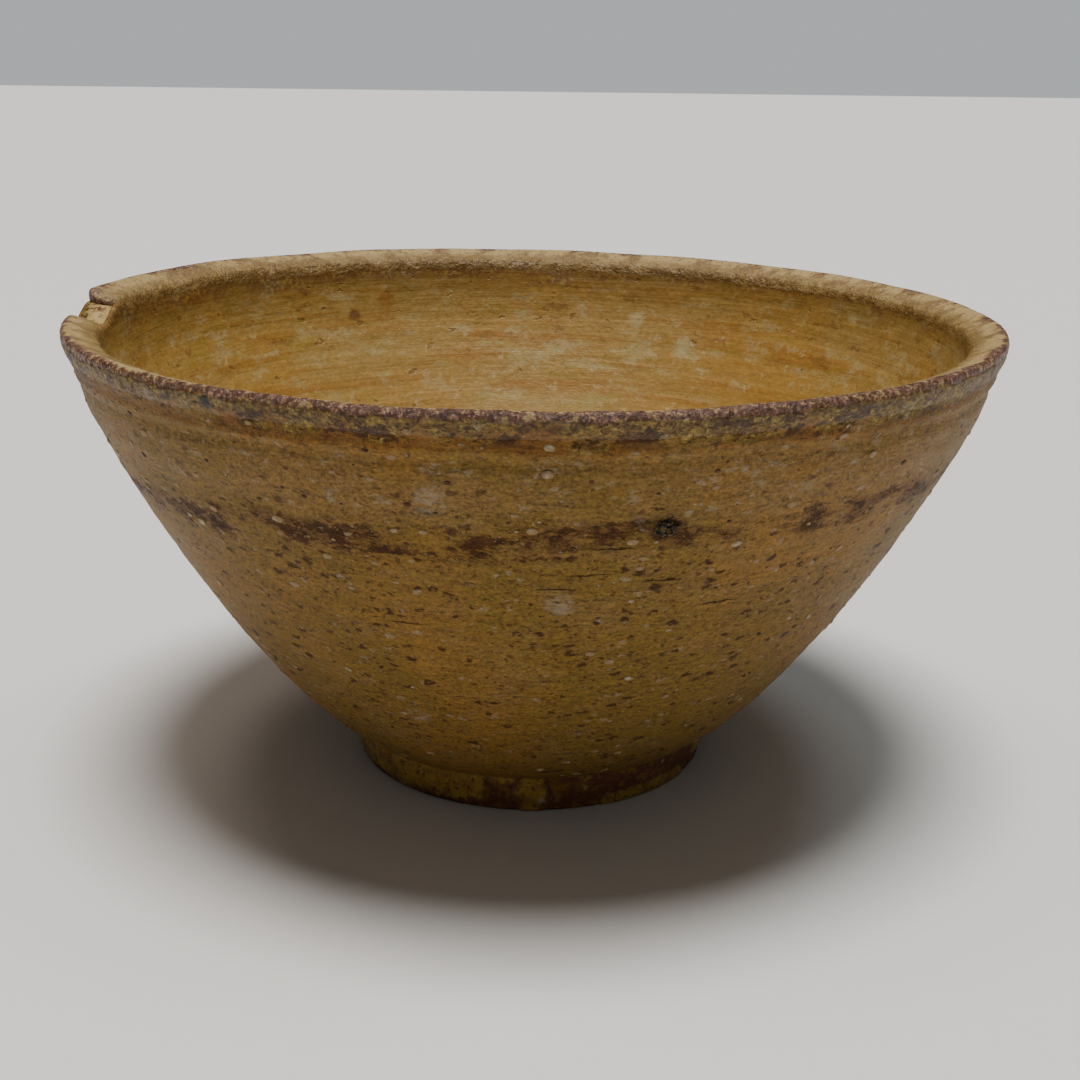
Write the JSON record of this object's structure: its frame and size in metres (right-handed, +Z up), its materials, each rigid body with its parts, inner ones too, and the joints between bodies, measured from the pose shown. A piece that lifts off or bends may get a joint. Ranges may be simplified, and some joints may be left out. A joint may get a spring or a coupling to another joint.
{
  "type": "matcha tea bowl",
  "caption": "Wide flared stoneware tea bowl on a bare foot ring, with a thin yellow-ochre ash glaze and a rim strip whose ends do not meet.",
  "frame": {"origin": "middle of the foot ring's resting face, on the bowl's axis", "axes": "+Z up along the bowl's axis, +X to the right and -Y to the front, so that the gap in the rim strip is near -X"},
  "size_m": [0.1449, 0.145, 0.075],
  "materials": {
    "body_clay": "coarse fired stoneware",
    "foot_clay": "bare iron-rich stoneware, matte",
    "lip_clay": "worn brown lip with thin glaze crust",
    "outer_glaze": "satin ochre ash glaze with brown streaks",
    "inner_glaze": "satin yellow ash glaze with pale blotches",
    "foot_glaze": "pooled yellow glaze runs",
    "feldspar": "half-melted white feldspar",
    "iron_stone": "dark slaggy iron grain, slight gloss"
  },
  "bodies": {
    "root": {"bowl_wall": "body_clay", "foot_ring": "foot_clay", "rim_strip": "lip_clay", "outer_glaze": "outer_glaze", "inner_glaze": "inner_glaze", "foot_glaze": "foot_glaze", "feldspar_grains": "feldspar", "iron_grains": "iron_stone"}
  },
  "joints": []
}
